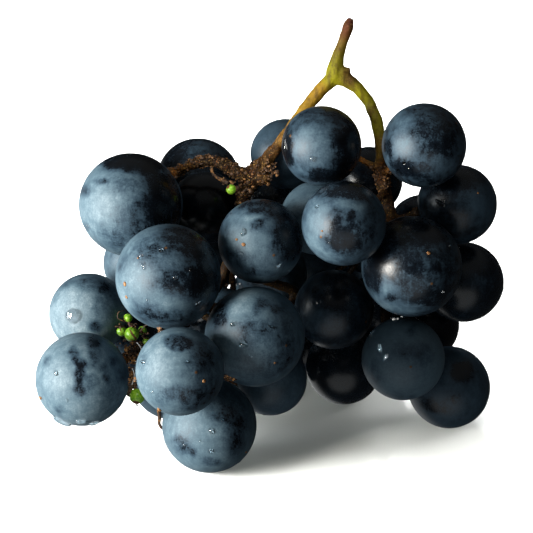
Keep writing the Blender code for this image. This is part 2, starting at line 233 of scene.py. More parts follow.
def berry_skin():
    """Blue-black skin under a pale wax bloom. The bloom attribute says where the wax is thick, and also
    carries painted shade on the side of a berry turned from the window and painted highlights where its light
    falls.
    Noise breaks its edges up, and streaks run where it was wiped. Thin wax looks blue, thick wax almost
    white."""
    n = new_material("grape_skin")
    bloom_and_light = n.attribute("bloom_and_light")
    wide = n.noise(150, detail=3, roughness=0.55, distortion=0.4)
    middle = n.noise(520, detail=6, roughness=0.7, distortion=0.3)
    fine = n.noise(2400, detail=3, roughness=0.65)
    streak_place = n.stretched((0.22, 1.6, 1.0), (0.3, 0.5, 0.4))
    streaks = n.noise(420, detail=5, roughness=0.65, place=streak_place, distortion=0.6)
    wipe_place = n.stretched((1.0, 0.9, 0.14), (0.4, -0.5, 0.0))
    wipes = n.noise(900, detail=4, roughness=0.6, place=wipe_place, distortion=0.3)
    uneven = 0.0
    for texture, amount in ((wide, 0.42), (middle, 0.62), (streaks, 0.28), (wipes, 0.34), (fine, 0.46)):
        uneven = n.math("ADD", uneven, n.math("MULTIPLY", n.math("SUBTRACT", texture, 0.5), amount))
    cover = n.math("ADD", bloom_and_light, n.math("MULTIPLY", uneven, n.attribute("mottle")))
    film = n.spread(cover, 0.02, 1.12, smooth=False)
    edge = n.spread(cover, 0.20, 0.46, 0.50, 1.0)
    film = n.math("MULTIPLY", film, edge)
    skin = n.ramp(
        film,
        (0.0, colour(0.0014, 0.0020, 0.0034)),
        (0.20, colour(0.0056, 0.0108, 0.0178)),
        (0.45, colour(0.034, 0.063, 0.092)),
        (0.68, colour(0.080, 0.134, 0.173)),
        (0.85, colour(0.148, 0.212, 0.254)),
        (1.0, colour(0.270, 0.340, 0.378)),
    )
    scar = n.attribute("scar")
    skin = n.mix(n.spread(scar, 0.35, 0.75), skin, colour(0.10, 0.05, 0.02))
    n.link(skin, n.shader.inputs["Base Color"])
    n.link(n.spread(film, 0.05, 0.7, 0.22, 0.60, smooth=False), n.shader.inputs["Roughness"])
    n.shader.inputs["IOR"].default_value = 1.40
    grain = n.bump(fine, 0.00003, 0.35)
    n.link(n.bump(cover, 0.00008, 0.4, over=grain), n.shader.inputs["Normal"])
    return n.owner


def stalk_wood():
    """The stalk's colours come from the tint attribute. Fibres run up it, and where it is corky, pits darken
    it and flecks of torn bark stand out."""
    n = new_material("stalk_bark")
    tint = n.attribute("tint", "Color")
    cork = n.attribute("cork")
    fibres = n.noise(900, detail=4, roughness=0.6, place=n.stretched((1.0, 1.0, 0.22)))
    spots = n.noise(3000, detail=3, roughness=0.6)
    bark = n.mix(n.math("MULTIPLY", n.spread(fibres, 0.44, 0.66), 0.6), tint, colour(0.050, 0.028, 0.005))
    browned = n.spread(n.noise(300, detail=5, roughness=0.7), 0.50, 0.66)
    bark = n.mix(n.math("MULTIPLY", browned, 0.55), bark, colour(0.040, 0.016, 0.004))
    pits = n.spread(n.noise(1500, detail=4, roughness=0.65), 0.46, 0.60, 1.0, 0.0)
    pitted = n.math("MULTIPLY", pits, n.spread(cork, 0.0, 1.0, 0.10, 0.85))
    bark = n.mix(pitted, bark, colour(0.010, 0.005, 0.003))
    reddened = n.spread(n.noise(700, detail=1), 0.42, 0.58)
    torn = n.mix(reddened, colour(0.42, 0.24, 0.07), colour(0.32, 0.10, 0.02))
    flecks = n.math("MULTIPLY", n.spread(spots, 0.57, 0.66), n.spread(cork, 0.0, 0.9, 0.12, 0.7))
    bark = n.mix(flecks, bark, torn)
    n.link(bark, n.shader.inputs["Base Color"])
    n.link(n.spread(cork, 0.0, 1.0, 0.50, 0.65), n.shader.inputs["Roughness"])
    n.shader.inputs["Specular IOR Level"].default_value = 0.10
    rough = n.bump(fibres, 0.00012, 0.7)
    n.link(n.bump(spots, 0.00018, 0.8, over=rough), n.shader.inputs["Normal"])
    return n.owner


def shot_skin():
    n = new_material("shot_berry_skin")
    speckle = n.noise(2200, detail=3)
    base = n.mix(n.spread(speckle, 0.35, 0.7), colour(0.13, 0.34, 0.012), colour(0.33, 0.58, 0.05))
    cap = n.attribute("scar")
    base = n.mix(n.spread(cap, 0.4, 0.6), base, colour(0.12, 0.045, 0.012))
    n.link(base, n.shader.inputs["Base Color"])
    n.link(n.spread(cap, 0.3, 0.7, 0.3, 0.7), n.shader.inputs["Roughness"])
    n.shader.inputs["Subsurface Weight"].default_value = 0.15
    n.shader.inputs["Subsurface Radius"].default_value = (0.4, 0.8, 0.2)
    n.shader.inputs["Subsurface Scale"].default_value = 0.001
    n.link(n.bump(speckle, 0.00005, 0.4), n.shader.inputs["Normal"])
    return n.owner


def twig_bark():
    n = new_material("twig_bark")
    crumbs = n.noise(2600, detail=4, roughness=0.7)
    patches = n.spread(n.noise(650, detail=2), 0.50, 0.64)
    dark = n.mix(n.spread(crumbs, 0.4, 0.65), colour(0.018, 0.009, 0.004), colour(0.105, 0.046, 0.016))
    light = n.mix(n.spread(crumbs, 0.4, 0.65), colour(0.085, 0.034, 0.010), colour(0.42, 0.20, 0.06))
    n.link(n.mix(patches, dark, light), n.shader.inputs["Base Color"])
    n.link(n.spread(crumbs, 0.3, 0.7, 0.5, 0.75), n.shader.inputs["Roughness"])
    n.link(n.bump(crumbs, 0.0002, 0.8), n.shader.inputs["Normal"])
    return n.owner


def water():
    n = new_material("water")
    n.shader.inputs["Base Color"].default_value = colour(1, 1, 1)
    n.shader.inputs["Roughness"].default_value = 0.0
    n.shader.inputs["IOR"].default_value = 1.42
    n.shader.inputs["Transmission Weight"].default_value = 1.0
    n.link(n.bump(n.noise(900, detail=1), 0.00002, 0.3), n.shader.inputs["Normal"])
    return n.owner


def corky_speck():
    n = new_material("corky_speck")
    crumbs = n.noise(4200, detail=3)
    base = n.mix(n.spread(crumbs, 0.38, 0.62), colour(0.10, 0.038, 0.010), colour(0.44, 0.21, 0.07))
    n.link(base, n.shader.inputs["Base Color"])
    n.shader.inputs["Roughness"].default_value = 0.55
    n.link(n.bump(crumbs, 0.0001, 0.6), n.shader.inputs["Normal"])
    return n.owner


def pale_fibre():
    n = new_material("pale_fibre")
    base = n.mix(n.noise(1500), colour(0.45, 0.47, 0.50), colour(0.75, 0.76, 0.76))
    n.link(base, n.shader.inputs["Base Color"])
    n.shader.inputs["Roughness"].default_value = 0.4
    return n.owner


# Berries. How much wax each shows on the photographed side, from 0 to 1, in the order of the CAD's numbers.
# Each is set to how bright the berry looks, so it is partly painted light: mostly more on the brightly lit
# berries at the left and less on the shaded ones at the right
BASE_BLOOM_AND_LIGHT = [
    0.68, 0.27, 0.60, 0.56, 0.38, 0.44, 0.38, 0.34, 0.34, 0.28,
    0.93, 0.80, 0.74, 0.64, 0.72, 0.53, 0.33, 0.26, 0.67, 0.45,
    0.18, 0.66, 0.46, 0.32, 0.22, 0.28, 0.62, 0.56, 0.14, 0.32, 0.20,
]
HIDDEN_BLOOM = (0.30, 0.66)
# The wax where a berry turns away from the photographed side, and how fully it goes over to that
AWAY_BLOOM = 0.45
AWAY_SHARE = 0.6
# How mottled the wax is, as set for the berries named here and for the others, and how much more where marks
# wipe it off or thin it as painted shade; and the share of such a mark's amount that is taken off
EVEN_WAX = {8: 0.45, 9: 0.75, 10: 0.45, 16: 0.5, 17: 0.4, 18: 0.4, 19: 0.45, 20: 0.45, 23: 0.5}
BLOTCHY = 0.80
WORN_AND_SHADED_MOTTLE = 0.45
WORN_AND_SHADED_SHARE = 0.94

# Places on the picture where wax was wiped off or lies thick, and places where it is thinned as painted shade
# on the side of a berry turned from the window or thickened as a painted highlight where the window's light
# falls: berry, middle x and y, half width and height in pixels, turn in degrees, how much is taken (below
# zero) or added, and how soft its edge is
WAX_AND_LIGHT_MARKS = [
    (1, 131, 160, 34, 12, 4, -0.62, 0.34),
    # painted shade: the side of berry 1 turned from the window
    (1, 168, 205, 26, 42, 0, -0.50, 0.72),
    (1, 124, 186, 14, 8, 0, -0.22, 0.72),
    # painted highlight where the window's light falls on berry 1
    (1, 100, 205, 20, 24, 0, 0.20, 0.95),
    (1, 126, 212, 12, 10, -30, -0.20, 0.72),
    (1, 118, 238, 18, 12, 15, -0.24, 0.85),
    (1, 140, 232, 16, 10, 10, -0.15, 0.72),
    (1, 86, 190, 5, 7, 30, -0.30, 0.72),
    (1, 102, 182, 6, 3, 10, -0.35, 0.72),
    (1, 84, 228, 5, 4, 0, -0.30, 0.72),
    (2, 205, 152, 22, 8, 0, 0.14, 0.85),
    (2, 170, 150, 12, 14, 0, -0.12, 0.72),
    (3, 185, 243, 24, 14, 10, -0.39, 0.6),
    (3, 148, 252, 14, 14, -10, -0.20, 0.72),
    # painted shade on the right side of berry 3, in this mark and the next
    (3, 188, 282, 30, 14, 0, -0.35, 0.72),
    (3, 206, 275, 16, 40, 0, -0.25, 0.85),
    # painted highlight where the window's light falls on the left of berry 3
    (3, 130, 276, 16, 26, 8, 0.20, 0.95),
    (3, 165, 301, 20, 7, 8, 0.10, 0.85),
    (3, 162, 316, 28, 8, 8, -0.27, 0.72),
    (3, 123, 266, 5, 9, 15, -0.22, 0.6),
    (3, 126, 305, 5, 14, -25, 0.20, 0.72),
    (4, 268, 206, 28, 10, 0, -0.27, 0.6),
    (4, 253, 217, 12, 4, -10, 0.25, 0.6),
    (4, 257, 225, 8, 5, -30, -0.27, 0.46),
    # painted shade on the right side of berry 4
    (4, 287, 238, 15, 22, 0, -0.43, 0.52),
    (4, 237, 258, 12, 9, 0, -0.27, 0.72),
    (4, 222, 240, 6, 30, 0, -0.16, 0.85),
    # painted highlight on berry 4
    (4, 245, 246, 18, 22, 0, 0.18, 0.95),
    (4, 285, 272, 15, 7, -15, 0.10, 0.85),
    (4, 258, 272, 18, 3, 10, -0.16, 0.72),
    # painted highlight on berry 5
    (5, 311, 148, 22, 22, 0, 0.22, 0.34),
    # painted shade on the right side of berry 5
    (5, 347, 150, 13, 26, 0, -0.25, 0.52),
    (5, 330, 177, 26, 6, 0, -0.27, 0.72),
    (5, 287, 148, 6, 16, 0, -0.35, 0.6),
    (5, 300, 178, 16, 8, 30, 0.15, 0.85),
    (5, 354, 175, 8, 20, 20, 0.12, 0.85),
    (6, 345, 190, 34, 10, 0, -0.27, 0.6),
    # painted highlight on berry 6
    (6, 316, 222, 10, 22, 10, 0.28, 0.85),
    (6, 345, 238, 20, 14, -10, -0.19, 0.85),
    (6, 347, 241, 14, 10, 25, -0.16, 0.6),
    (6, 350, 204, 13, 6, 10, 0.25, 0.72),
    (6, 351, 213, 4, 6, 20, -0.39, 0.46),
    (6, 362, 212, 4, 9, 0, 0.12, 0.72),
    (6, 334, 226, 8, 8, -20, -0.17, 0.72),
    (6, 320, 250, 16, 8, 40, 0.25, 0.85),
    # painted highlight on berry 7
    (7, 401, 146, 11, 12, 0, 0.28, 0.85),
    (7, 388, 147, 4, 8, 0, -0.23, 0.72),
    (7, 406, 168, 12, 7, 20, -0.23, 0.72),
    (7, 432, 135, 16, 12, 0, -0.16, 0.85),
    (7, 438, 150, 12, 10, 0, -0.12, 0.85),
    (7, 398, 122, 10, 10, -40, 0.15, 0.95),
    (7, 420, 150, 6, 18, 20, 0.10, 0.95),
    (7, 440, 165, 14, 8, 0, 0.08, 0.95),
    (8, 480, 205, 14, 16, 0, 0.14, 1.0),
    (8, 450, 182, 22, 10, 0, -0.12, 0.85),
    (9, 405, 226, 36, 12, 0, -0.12, 0.85),
    (9, 425, 240, 10, 8, 0, -0.16, 0.72),
    (9, 377, 268, 8, 22, 8, -0.31, 0.72),
    (9, 385, 288, 8, 14, -10, 0.30, 0.85),
    (9, 413, 268, 10, 7, 25, -0.16, 0.72),
    (9, 428, 298, 13, 8, -15, -0.16, 0.72),
    (9, 391, 298, 4, 4, 0, -0.31, 0.6),
    (9, 400, 308, 26, 5, 0, 0.25, 0.85),
    (9, 372, 295, 5, 16, -35, 0.20, 0.85),
    (9, 438, 268, 4, 4, 0, -0.23, 0.72),
    (10, 480, 285, 10, 8, 0, 0.10, 1.0),
    (11, 98, 283, 22, 10, 10, -0.42, 0.46),
    (11, 106, 302, 14, 20, 0, -0.30, 0.46),
    (11, 96, 326, 8, 6, 0, -0.52, 0.52),
    (11, 65, 283, 12, 4, -30, -0.30, 0.6),
    (11, 54, 300, 4, 8, 20, -0.20, 0.72),
    (12, 94, 341, 8, 8, 0, -0.42, 0.35),
    (12, 94, 353, 6, 12, 0, -0.36, 0.45),
    (12, 73, 351, 5, 5, 0, -0.42, 0.5),
    (12, 79, 362, 10, 5, 25, -0.50, 0.45),
    (12, 80, 374, 5, 9, -10, -0.48, 0.45),
    (12, 79, 388, 6, 8, 0, -0.40, 0.5),
    (12, 92, 381, 7, 7, 0, -0.26, 0.28),
    (12, 90, 391, 8, 4, 0, -0.20, 0.6),
    (12, 105.5, 378, 5, 4, 10, -0.48, 0.4),
    (12, 104, 368, 5, 5, 0, -0.30, 0.6),
    (12, 114, 360, 5, 4, 30, -0.36, 0.6),
    (12, 124, 374, 6, 8, 20, -0.30, 0.7),
    (12, 116, 396, 14, 16, 0, -0.12, 0.85),
    (12, 60, 410, 6, 4, 60, -0.26, 0.6),
    (12, 48, 361, 6, 3, -50, -0.30, 0.6),
    # painted highlight on berry 12
    (12, 56, 378, 14, 14, 0, 0.08, 0.32),
    (13, 177, 342, 15, 8, 8, -0.47, 0.28),
    # painted shade on the right side of berry 13, in this mark and the next
    (13, 206, 350, 12, 18, 20, -0.27, 0.72),
    (13, 213, 372, 10, 26, 0, -0.20, 0.85),
    (13, 192, 398, 22, 14, 0, -0.33, 0.72),
    (13, 195, 368, 10, 14, 0, -0.12, 0.85),
    # painted highlight on berry 13
    (13, 155, 365, 14, 22, 0, 0.12, 1.0),
    (13, 142, 360, 5, 8, 0, -0.12, 0.72),
    (13, 166, 396, 8, 8, 0, -0.17, 0.72),
    (14, 264, 303, 8, 5, 30, -0.27, 0.4),
    (14, 276, 309, 7, 5, 0, -0.23, 0.4),
    (14, 258, 308, 5, 5, 0, -0.23, 0.6),
    (14, 240, 306, 9, 19, 35, 0.25, 0.85),
    (14, 221, 315, 8, 14, 20, -0.31, 0.6),
    (14, 256, 328, 14, 10, 0, -0.22, 0.85),
    (14, 240, 336, 6, 6, 0, -0.20, 0.85),
    # painted shade on the right side of berry 14
    (14, 288, 340, 12, 28, 0, -0.22, 0.72),
    (14, 225, 345, 14, 10, -20, 0.15, 0.85),
    (14, 272, 368, 16, 10, 0, -0.16, 0.85),
    (14, 238, 384, 12, 3, 0, -0.23, 0.72),
    (15, 182, 443, 8, 10, -25, -0.30, 0.5),
    (15, 194, 452, 4, 4, 0, -0.28, 0.6),
    (15, 212, 461, 10, 4, 5, -0.28, 0.5),
    # painted shade on the right side of berry 15
    (15, 236, 415, 14, 30, 0, -0.30, 0.85),
    (15, 238, 446, 8, 10, 20, -0.25, 0.85),
    (15, 218, 405, 12, 16, 0, -0.15, 0.85),
    (15, 215, 432, 8, 7, 0, 0.10, 0.85),
    (17, 338, 295, 12, 14, 0, -0.20, 0.6),
    (17, 318, 318, 14, 10, 0, 0.10, 0.95),
    (18, 312, 388, 14, 12, 0, -0.12, 0.85),
    (19, 400, 335, 24, 10, 0, 0.10, 0.95),
    (19, 410, 352, 14, 8, 0, -0.22, 0.85),
    (19, 424, 356, 8, 10, 0, -0.14, 0.85),
    (19, 400, 400, 26, 6, 0, -0.16, 0.85),
    (19, 375, 372, 6, 10, 0, -0.17, 0.72),
    (19, 412, 330, 3, 6, 40, -0.27, 0.6),
    (20, 462, 372, 10, 10, 0, -0.27, 0.52),
    (20, 436, 408, 12, 6, 20, -0.20, 0.72),
    (20, 455, 400, 8, 5, 0, -0.12, 0.72),
]
# Marks are drawn crooked by a noise of this size in pixels, over this length in metres
MARK_WANDER = 3.0
MARK_WANDER_LENGTH = 0.0035


def fitted_ball(node):
    """Centre, radius and stalk pole of a CAD berry, from the points of its skin away from its poles."""
    points = np.array([v.co for v in frame["nodes"][node].data.vertices], float)
    points = points[points[:, 2] > 1e-5]
    kept = points
    for _ in range(3):
        rows = np.c_[2 * kept, np.ones(len(kept))]
        x, y, z, rest = np.linalg.lstsq(rows, (kept**2).sum(axis=1), rcond=None)[0]
        centre = np.array([x, y, z])
        radius = math.sqrt(rest + centre @ centre)
        off = np.linalg.norm(points - centre, axis=1) - radius
        kept = points[abs(off) < 0.05 * MM + 0.3 * abs(off).max()]
    near = points[np.linalg.norm(points - centre, axis=1).argmin()]
    return Vector(centre), radius, (Vector(near) - Vector(centre)).normalized()


def fine_ball(sides, rings, centre, radius, pole, seed):
    """A berry's mesh: a fine ball, a little uneven, with a dimple at its stalk and a tip where its flower
    was. What would reach below the table is flat on it."""
    shape = bmesh.new()
    bmesh.ops.create_uvsphere(shape, u_segments=sides, v_segments=rings, radius=1.0)
    turn = Vector(pole).to_track_quat("Z", "Y").to_matrix()
    for vertex in shape.verts:
        way = vertex.co.normalized()
        angle = math.acos(max(-1.0, min(1.0, way.z)))
        from_stalk = angle * radius
        from_style = (math.pi - angle) * radius
        lump = noise.noise(way * 1.3 + Vector((seed * 7.1, seed * 3.3, 0)))
        reach = radius * (SKIN_INSET - LUMP_SHARE * (0.5 + lump))
        reach -= DIMPLE_DEPTH * math.exp(-((from_stalk / DIMPLE_WIDTH) ** 2))
        reach += STYLE_HEIGHT * math.exp(-((from_style / STYLE_WIDTH) ** 2))
        vertex.co = Vector(centre) + turn @ (way * reach)
        vertex.co.z = max(vertex.co.z, 0.0)
    return shape


def wax_and_light_of(number, points, ways):
    """How thick the wax is at points of a berry, from its base and the marks on it, which include painted
    shade and painted highlights, and how much the wiped and painted-shade marks take off, from 0 to 1. ways
    are the outward directions there."""
    worn_and_shaded = np.zeros(len(points))
    if number > SHOWN_COUNT:
        rule = random.Random(SEED * 100 + number)
        return np.full(len(points), rule.uniform(*HIDDEN_BLOOM)), worn_and_shaded
    wax_and_light = np.full(len(points), BASE_BLOOM_AND_LIGHT[number - 1])
    facing = np.clip(ways @ np.array(TO_EYE) * 4, 0, 1)
    x, y = pixels_of(points)
    wander = np.array([noise.noise_vector(Vector(p) / MARK_WANDER_LENGTH)[:2] for p in points]) * MARK_WANDER
    for berry, mid_x, mid_y, half_x, half_y, turn, amount, softness in WAX_AND_LIGHT_MARKS:
        if berry != number:
            continue
        angle = math.radians(turn)
        off_x, off_y = x + wander[:, 0] - mid_x, y + wander[:, 1] - mid_y
        dx = off_x * math.cos(angle) + off_y * math.sin(angle)
        dy = off_y * math.cos(angle) - off_x * math.sin(angle)
        far = np.sqrt((dx / half_x) ** 2 + (dy / half_y) ** 2)
        inside = np.clip((1 + softness - far) / (2 * softness), 0, 1)
        inside = inside * inside * (3 - 2 * inside) * facing
        if amount < 0:
            worn_and_shaded = np.maximum(worn_and_shaded, inside)
            amount *= WORN_AND_SHADED_SHARE
        wax_and_light = wax_and_light + amount * inside
    away = (1 - facing) * (AWAY_BLOOM - BASE_BLOOM_AND_LIGHT[number - 1]) * AWAY_SHARE
    return wax_and_light + away, worn_and_shaded


def add_attribute(mesh, name, values):
    mesh.attributes.new(name, "FLOAT", "POINT").data.foreach_set("value", np.asarray(values, np.float32))


def add_piece(name, shape, material, slot, *nodes):
    """A piece of the bunch from a bmesh or a mesh, riding on the bunch and standing for CAD nodes, if any."""
    if isinstance(shape, bmesh.types.BMesh):
        mesh = bpy.data.meshes.new(name)
        bmesh.ops.recalc_face_normals(shape, faces=shape.faces)
        shape.to_mesh(mesh)
        shape.free()
    else:
        mesh = shape
        mesh.name = name
    mesh.materials.clear()
    mesh.materials.append(material)
    mesh.shade_smooth()
    piece = bpy.data.objects.new(name, mesh)
    bpy.context.scene.collection.objects.link(piece)
    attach(piece, BODY)
    if nodes:
        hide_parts(*nodes)
    return piece


def add_berries(skin):
    """Every berry, fine, in place of its CAD node. Returns their centres and radii for what sits on them."""
    balls = []
    for node in sorted(name for name in frame["nodes"] if name.startswith("berry_")):
        number = int(node.split("_")[1])
        centre, radius, pole = fitted_ball(node)
        sides, rings = (FINE_SIDES, FINE_RINGS) if number <= SHOWN_COUNT else (PLAIN_SIDES, PLAIN_RINGS)
        shape = fine_ball(sides, rings, centre, radius, pole, number)
        piece = add_piece(f"fine_{node}", shape, skin, "berry_skin", node)
        points = np.array([v.co for v in piece.data.vertices], float)
        ways = points - np.array(centre)
        ways /= np.linalg.norm(ways, axis=1)[:, None]
        wax_and_light, worn_and_shaded = wax_and_light_of(number, points, ways)
        # The wax, with the painted shade and highlights of the marks and of the per-berry levels
        add_attribute(piece.data, "bloom_and_light", wax_and_light)
        add_attribute(piece.data, "mottle", EVEN_WAX.get(number, BLOTCHY) + WORN_AND_SHADED_MOTTLE * worn_and_shaded)
        from_style = np.arccos(np.clip(-(ways @ np.array(pole)), -1, 1)) * radius
        add_attribute(piece.data, "scar", np.exp(-((from_style / SCAR_WIDTH) ** 2)))
        balls.append((number, centre, radius * SKIN_INSET))
    return balls


def struck(balls, x, y):
    """The point on the skin of the berry that shows at a pixel, and the outward way there, or None."""
    ray = pixel_ray(x, y)
    best = None
    for number, centre, radius in balls:
        to_centre = centre - EYE
        along = to_centre.dot(ray)
        gap = radius**2 - (to_centre.length_squared - along**2)
        if gap <= 0:
            continue
        reach = along - math.sqrt(gap)
        if best is None or reach < best[0]:
            best = (reach, number, centre)
    if best is None:
        return None
    point = EYE + ray * best[0]
    return point, (point - best[2]).normalized()


# What sits on the skin: middle x and y in pixels, width in millimetres, how much longer than wide, turn in
# degrees, and height as a share of the width
DROPS = [
    (73, 316, 3.6, 1.1, -25, 0.22),
    (141, 257, 1.3, 1.2, 0, 0.42),
    (143.5, 265.5, 0.9, 2.4, 75, 0.42),
    (161, 250, 1.1, 1.1, 0, 0.5),
    (175, 278, 0.9, 1.3, 60, 0.45),
    (190, 270, 0.7, 1.1, 0, 0.45),
    (197, 303, 1.0, 1.4, -20, 0.4),
    (148, 300, 0.6, 1.2, 0, 0.4),
    (117, 222, 0.6, 1.1, 0, 0.4),
    (88, 226, 0.7, 1.3, 40, 0.4),
    (243, 232, 1.5, 1.3, 80, 0.45),
    (242, 253, 0.9, 1.1, 0, 0.45),
    (256, 194, 1.4, 1.5, 10, 0.5),
    (278, 266, 0.9, 1.8, -20, 0.4),
    (290, 270, 0.7, 1.1, 0, 0.4),
    (231, 214, 0.6, 1.2, 0, 0.4),
    (313, 159, 1.5, 1.1, 0, 0.24),
    (285, 144, 1.0, 3.0, 76, 0.5),
    (361, 137, 1.0, 1.8, 60, 0.5),
    (344, 126, 0.6, 1.1, 0, 0.4),
    (233, 324, 1.2, 1.3, -30, 0.5),
    (243, 344, 1.8, 1.0, 0, 0.42),
    (269, 327, 0.8, 1.1, 0, 0.4),
    (274, 328, 0.6, 1.1, 0, 0.4),
    (218, 316, 0.8, 1.5, 70, 0.4),
    (215, 336, 0.7, 1.4, 90, 0.4),
    (252, 357, 0.6, 1.1, 0, 0.4),
    (380, 348, 1.1, 2.0, 75, 0.45),
    (386, 357, 0.9, 2.0, -50, 0.4),
    (342, 291, 0.9, 2.6, 65, 0.45),
    (319, 302, 0.8, 1.4, 0, 0.4),
    (440, 203, 1.1, 3.0, 32, 0.4),
    (211, 431, 1.0, 1.5, 70, 0.5),
    (201, 441, 0.7, 1.2, 0, 0.42),
    (211, 451, 1.1, 1.1, 0, 0.3),
    (184, 445, 0.5, 1.1, 0, 0.4),
    (222, 420, 0.6, 1.2, 30, 0.4),
    (62, 421, 2.4, 1.9, 18, 0.36),
    (94, 423, 1.4, 1.8, -12, 0.42),
    (81, 421.5, 1.6, 1.6, 4, 0.26),
    (143, 362, 0.9, 2.2, 20, 0.42),
    (152, 392, 0.6, 1.1, 0, 0.4),
    (187, 362, 0.6, 1.2, 0, 0.4),
    (56, 373, 1.1, 1.3, 60, 0.3),
    (66, 400, 0.7, 1.4, 80, 0.4),
    (317, 207, 0.8, 1.3, 0, 0.42),
    (330, 243, 0.6, 1.1, 0, 0.4),
    (404, 163, 0.7, 1.4, 20, 0.42),
    (398, 170, 0.6, 1.1, 0, 0.42),
    (409, 168, 0.5, 1.1, 0, 0.42),
    (372, 333, 0.9, 1.8, 5, 0.4),
    (443, 292, 0.7, 1.2, 0, 0.4),
    (450, 246, 0.5, 1.1, 0, 0.4),
]
SPECKS = [
    (125, 284, 1.0, 1.2, 80, 0.3),
    (126.5, 297, 0.75, 1.2, 20, 0.3),
    (84.5, 238, 0.6, 1.2, 0, 0.5),
    (138, 258, 0.45, 1.5, 30, 0.3),
    (243.5, 244.5, 0.9, 1.2, 30, 0.3),
    (236.5, 239.5, 0.6, 1.2, 0, 0.3),
    (204, 381, 0.8, 1.1, 0, 0.35),
    (275, 363, 0.5, 1.1, 0, 0.3),
    (428.6, 253, 0.8, 1.3, 10, 0.3),
    (478, 193, 0.5, 1.1, 0, 0.3),
    (40.5, 398, 0.7, 1.3, 60, 0.5),
    (322, 231, 0.5, 1.2, 0, 0.3),
    (159.5, 409.5, 0.9, 1.6, 60, 0.35),
    (463.5, 126.5, 0.5, 2.4, 20, 0.9),
    (235, 155, 0.7, 1.0, 0, 0.6),
    (361, 136, 0.9, 1.2, 60, 0.5),
    (246, 452, 0.5, 1.4, 50, 0.4),
]


def add_domes(name, table, balls, material, slot, sides=20, rings=10):
    """Low domes on the skin, one for each line of the table, as one piece."""
    shape = bmesh.new()
    for x, y, width, longer, turn, height in table:
        hit = struck(balls, x, y)
        if hit is None:
            continue
        point, out = hit
        right = ACROSS - out * ACROSS.dot(out)
        right.normalize()
        down = out.cross(right)
        angle = -math.radians(turn)
        long_way = right * math.cos(angle) + down * math.sin(angle)
        short_way = out.cross(long_way)
        made = bmesh.ops.create_uvsphere(shape, u_segments=sides, v_segments=rings, radius=1.0)
        half = width * MM / 2
        for vertex in made["verts"]:
            a, b, c = vertex.co
            uneven = 1 + 0.12 * noise.noise(Vector((a * 1.7 + x, b * 1.7 + y, 0)))
            vertex.co = (
                point
                + long_way * a * half * longer * uneven
                + short_way * b * half * uneven
                + out * c * height * 2 * half
            )
    return add_piece(name, shape, material, slot)


# Stalk. Its colours, then where each lies, in millimetres of the view across and up, and how corky the wood
# is there. A place counts for about TINT_REACH millimetres around it. The near-black tints, at the node's
# crook, in the gaps between berries and on the wood away from the listed places, are painted shade
WOOD_COLOURS = {
    "reddish": (0.060, 0.014, 0.011),
    "red brown": (0.100, 0.030, 0.012),
    "olive brown": (0.105, 0.066, 0.008),
    "yellow green": (0.215, 0.200, 0.006),
    "olive": (0.140, 0.126, 0.006),
    "ochre": (0.250, 0.145, 0.012),
    "tan": (0.190, 0.098, 0.018),
    "brown": (0.070, 0.032, 0.008),
    "dark brown": (0.012, 0.006, 0.003),
    "grey brown": (0.034, 0.023, 0.014),
    "torn orange": (0.260, 0.100, 0.018),
    "black": (0.012, 0.007, 0.004),
}
WOOD_TINTS = [
    (20.6, 60.8, "reddish", 0.5),
    (19.6, 57.6, "red brown", 0.15),
    (18.4, 54.2, "olive brown", 0.05),
    (17.4, 50.6, "olive", 0.0),
    (16.5, 46.2, "yellow green", 0.0),
    (12.6, 42.8, "ochre", 0.1),
    (8.2, 37.1, "ochre", 0.25),
    (4.5, 32.2, "tan", 0.4),
    (0.9, 27.3, "brown", 0.6),
    (1.2, 23.4, "tan", 1.0),
    # painted shade: the node's crook is tinted near-black, here and in the next line
    (-3.0, 22.6, "dark brown", 0.9),
    (-6.0, 18.6, "dark brown", 1.0),
    (-1.0, 25.4, "brown", 0.8),
    (-9.5, 24.6, "grey brown", 1.0),
    (-15.0, 26.0, "grey brown", 1.0),
    (-19.5, 24.6, "brown", 1.0),
    (-23.2, 24.0, "torn orange", 0.9),
    (20.7, 46.9, "brown", 0.4),
    (23.0, 42.9, "yellow green", 0.0),
    (25.4, 39.8, "olive", 0.05),
    (27.0, 35.4, "olive", 0.1),
    (28.0, 29.0, "olive brown", 0.3),
    # painted shade: near-black where the wood shows in a gap between berries
    (28.2, 22.0, "black", 0.9),
    (30.6, 23.4, "torn orange", 0.8),
    (21.0, 23.2, "torn orange", 0.7),
    # painted shade: near-black where the wood shows in a gap between berries
    (30.7, 12.6, "black", 0.5),
    (-32.0, -20.5, "brown", 1.0),
]
# Painted shade: the wood away from the listed places, deep inside the bunch, takes this near-black tint
WOOD_ELSEWHERE_PAINTED_SHADE = (*WOOD_COLOURS["black"], 0.2)
ELSEWHERE_WEIGHT = 0.02
TINT_REACH = 2.3
STEM_VOXEL = 0.36 * MM
CORK_LUMPS = 0.62 * MM
BARK_LUMPS = 0.05 * MM
# Crumbs of bark lie on wood at least this corky, above this pixel row, at this share of its points
CRUMB_CORK = 0.72
CRUMB_LOWEST_ROW = 205
CRUMB_SHARE = 0.07
CRUMB_SIZES = (0.12, 0.46)


def remeshed(name, source, voxel, smoothing):
    """A copy of a mesh, turned into even small faces and smoothed."""
    source_object = bpy.data.objects.new(name, source.copy())
    bpy.context.scene.collection.objects.link(source_object)
    remesh = source_object.modifiers.new("even faces", "REMESH")
    remesh.mode = "VOXEL"
    remesh.voxel_size = voxel
    smooth = source_object.modifiers.new("smooth", "SMOOTH")
    smooth.factor = 0.5
    smooth.iterations = smoothing
    bpy.context.view_layer.update()
    result = source_object.evaluated_get(bpy.context.evaluated_depsgraph_get())
    mesh = bpy.data.meshes.new_from_object(result)
    bpy.data.objects.remove(source_object)
    return mesh


